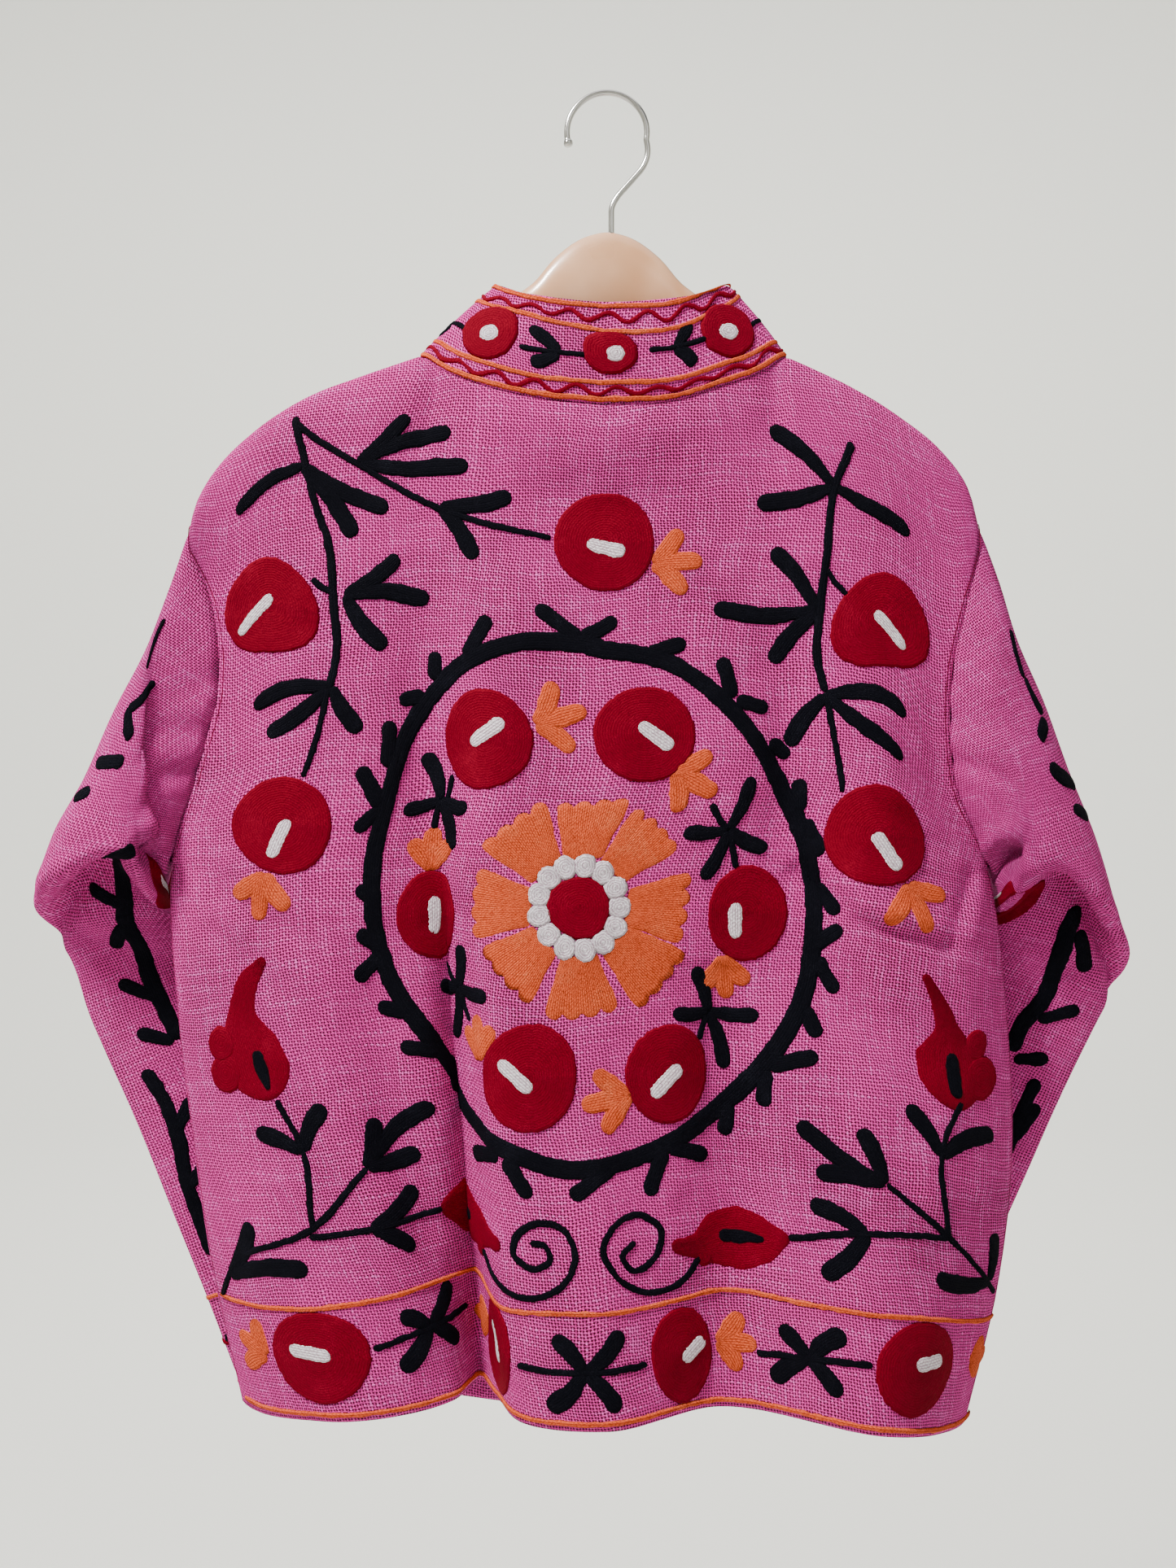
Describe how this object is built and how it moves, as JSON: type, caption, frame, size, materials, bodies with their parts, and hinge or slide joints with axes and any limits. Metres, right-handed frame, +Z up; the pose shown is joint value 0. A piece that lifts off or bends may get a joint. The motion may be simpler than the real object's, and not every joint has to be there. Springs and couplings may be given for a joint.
{
  "type": "embroidered jacket on a hanger",
  "caption": "Short stand-collar cotton jacket with wool flower, leaf and vine embroidery and side vents, hung flat on a moulded hanger with a steel hook.",
  "frame": {"origin": "underside of the hook's wire at the top of its round, where it rests on a peg or rail", "axes": "+Z up, +X to the viewer's right when the jacket's back is seen, +Y from the jacket's back to its front, which faces the wall"},
  "size_m": [0.652, 0.1159, 0.7847],
  "materials": {
    "pink_cotton": "slub weave with wool chain-stitch embroidery",
    "peach_plastic": "smooth, semi-gloss",
    "hook_steel": "polished"
  },
  "bodies": {
    "root": {"back": "pink_cotton", "front_left": "pink_cotton", "front_right": "pink_cotton", "sleeve_left": "pink_cotton", "sleeve_right": "pink_cotton", "collar": "pink_cotton", "hanger_body": "peach_plastic", "hanger_hook": "hook_steel"}
  },
  "joints": []
}
